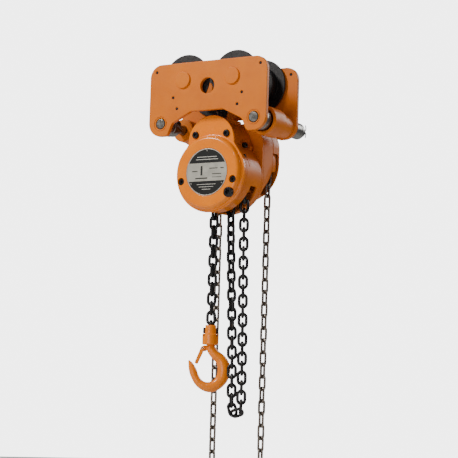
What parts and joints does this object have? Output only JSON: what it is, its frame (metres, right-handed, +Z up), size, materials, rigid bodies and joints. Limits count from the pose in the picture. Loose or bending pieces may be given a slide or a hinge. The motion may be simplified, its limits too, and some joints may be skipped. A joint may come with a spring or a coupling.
{
  "type": "hand chain hoist with push trolley",
  "caption": "Manual chain hoist hung in a push trolley: flanged track wheels, side plates, yoke, gear train, load chain with swivel latch hook, and a hand-chain drive.",
  "frame": {"origin": "centre of the four wheels' contact with the top of the beam's lower flange, midway between the side plates", "axes": "+X along the beam, -Y towards the gear cover at the front, +Z up"},
  "size_m": [0.279, 0.202, 0.888],
  "materials": {
    "orange_paint": "semi-gloss orange paint",
    "bright_orange_paint": "gloss bright orange paint",
    "bare_steel": "bright machined steel",
    "dark_iron": "dark cast iron",
    "black_oxide": "black oxide steel, slightly oily",
    "zinc_chain": "zinc-plated steel, worn",
    "nameplate_face": "brushed plate with black bands",
    "friction_lining": "dark friction lining"
  },
  "bodies": {
    "frame": {"side_plate_front": "orange_paint", "side_plate_rear": "orange_paint", "wheel_axle_front_left": "orange_paint", "wheel_axle_front_right": "orange_paint", "wheel_axle_rear_left": "orange_paint", "wheel_axle_rear_right": "orange_paint", "rear_spacer_left": "orange_paint", "rear_spacer_right": "orange_paint", "yoke": "orange_paint", "frame_plate_front": "orange_paint", "frame_plate_rear": "orange_paint", "body_shell": "orange_paint", "brake_housing": "orange_paint", "wheel_cover": "orange_paint", "gear_cover": "bright_orange_paint", "suspension_shaft_left": "bare_steel", "suspension_shaft_right": "bare_steel", "front_spacer_left": "bare_steel", "front_spacer_right": "bare_steel", "outer_washers_left": "bare_steel", "outer_washers_right": "bare_steel", "sheave_bearing_front": "bare_steel", "sheave_bearing_rear": "bare_steel", "ratchet_disc": "bare_steel", "chain_guide": "dark_iron", "cotter_pin_left": "black_oxide", "cotter_pin_right": "black_oxide", "hanger_bolt": "black_oxide", "cover_bolt_upper_left": "black_oxide", "cover_bolt_upper_right": "black_oxide", "cover_bolt_lower_left": "black_oxide", "cover_bolt_lower_right": "black_oxide", "oil_plug": "black_oxide", "hand_chain": "zinc_chain", "nameplate": "nameplate_face"},
    "wheel_front_left": {"track_wheel_front_left": "dark_iron"},
    "wheel_front_right": {"track_wheel_front_right": "dark_iron"},
    "wheel_rear_left": {"track_wheel_rear_left": "dark_iron"},
    "wheel_rear_right": {"track_wheel_rear_right": "dark_iron"},
    "drive": {"pinion_shaft": "bare_steel", "friction_hub": "bare_steel", "friction_disc_inner": "friction_lining", "friction_disc_outer": "friction_lining", "hand_wheel": "dark_iron"},
    "sheave": {"load_sheave": "dark_iron", "load_gear": "bare_steel"},
    "idler_left": {"idler_gear_left": "bare_steel"},
    "idler_right": {"idler_gear_right": "bare_steel"},
    "upper_pawl": {"pawl_upper": "bare_steel"},
    "lower_pawl": {"pawl_lower": "bare_steel"},
    "hook_block": {"hook_block_front": "bright_orange_paint", "hook_block_rear": "bright_orange_paint", "chain_pin": "black_oxide", "block_bolt_left": "black_oxide", "block_bolt_right": "black_oxide", "load_chain_hook": "black_oxide"},
    "hook_body": {"hook": "bright_orange_paint", "latch_pin": "bare_steel"},
    "latch": {"hook_latch": "bright_orange_paint"},
    "slack_loop": {"load_chain_slack": "black_oxide"}
  },
  "joints": [
    {"name": "wheel_spin_front_left", "type": "hinge", "parent": "frame", "child": "wheel_front_left", "pos_m": [-0.058, 0, 0.038], "axis": [0, 1, 0], "continuous": true},
    {"name": "wheel_spin_front_right", "type": "hinge", "parent": "frame", "child": "wheel_front_right", "pos_m": [0.058, 0, 0.038], "axis": [0, 1, 0], "continuous": true},
    {"name": "wheel_spin_rear_left", "type": "hinge", "parent": "frame", "child": "wheel_rear_left", "pos_m": [-0.058, 0, 0.038], "axis": [0, 1, 0], "continuous": true},
    {"name": "wheel_spin_rear_right", "type": "hinge", "parent": "frame", "child": "wheel_rear_right", "pos_m": [0.058, 0, 0.038], "axis": [0, 1, 0], "continuous": true},
    {"name": "hand_wheel_spin", "type": "hinge", "parent": "frame", "child": "drive", "pos_m": [0, 0.088, -0.118], "axis": [0, 1, 0], "range_deg": [-2800, 2100]},
    {"name": "sheave_spin", "type": "hinge", "parent": "frame", "child": "sheave", "pos_m": [0, 0.006, -0.118], "axis": [0, 1, 0], "range_deg": [-312, 234]},
    {"name": "idler_spin_left", "type": "hinge", "parent": "frame", "child": "idler_left", "pos_m": [-0.03187, -0.045, -0.1387], "axis": [0, 1, 0], "range_deg": [-701, 934]},
    {"name": "idler_spin_right", "type": "hinge", "parent": "frame", "child": "idler_right", "pos_m": [0.03187, -0.045, -0.1387], "axis": [0, 1, 0], "range_deg": [-701, 934]},
    {"name": "hook_lift", "type": "slide", "parent": "frame", "child": "hook_block", "axis": [0, 0, 1], "range_m": [-0.09905, 0.07429], "deforming": ["load_chain_hook"]},
    {"name": "slack_loop_rise", "type": "slide", "parent": "frame", "child": "slack_loop", "axis": [0, 0, 1], "range_m": [-0.03715, 0.04953], "deforming": ["load_chain_slack"]},
    {"name": "hook_swivel", "type": "hinge", "parent": "hook_block", "child": "hook_body", "pos_m": [-0.0187, 0.006, -0.484], "axis": [0, 0, 1], "continuous": true},
    {"name": "latch_pivot", "type": "hinge", "parent": "hook_body", "child": "latch", "pos_m": [-0.03169, -0.0015, -0.5025], "axis": [0.5, -0.866, 0], "range_deg": [0, 42], "stiffness_Nm_per_rad": 0.02, "springref_deg": -17.19},
    {"name": "pawl_pivot_upper", "type": "hinge", "parent": "frame", "child": "upper_pawl", "pos_m": [0.01411, 0.048, -0.06536], "axis": [0, 1, 0], "range_deg": [0, 12], "stiffness_Nm_per_rad": 0.02, "springref_deg": -17.19},
    {"name": "pawl_pivot_lower", "type": "hinge", "parent": "frame", "child": "lower_pawl", "pos_m": [-0.01411, 0.048, -0.17064], "axis": [0, 1, 0], "range_deg": [0, 12], "stiffness_Nm_per_rad": 0.02, "springref_deg": -17.19}
  ],
  "couplings": [
    {"joint": "sheave_spin", "follows": "hand_wheel_spin", "ratio": 0.11111},
    {"joint": "idler_spin_left", "follows": "hand_wheel_spin", "ratio": -0.33333},
    {"joint": "idler_spin_right", "follows": "hand_wheel_spin", "ratio": -0.33333},
    {"joint": "hook_lift", "follows": "hand_wheel_spin", "m_per_rad": 0.0020266},
    {"joint": "slack_loop_rise", "follows": "hand_wheel_spin", "m_per_rad": -0.0010133}
  ]
}
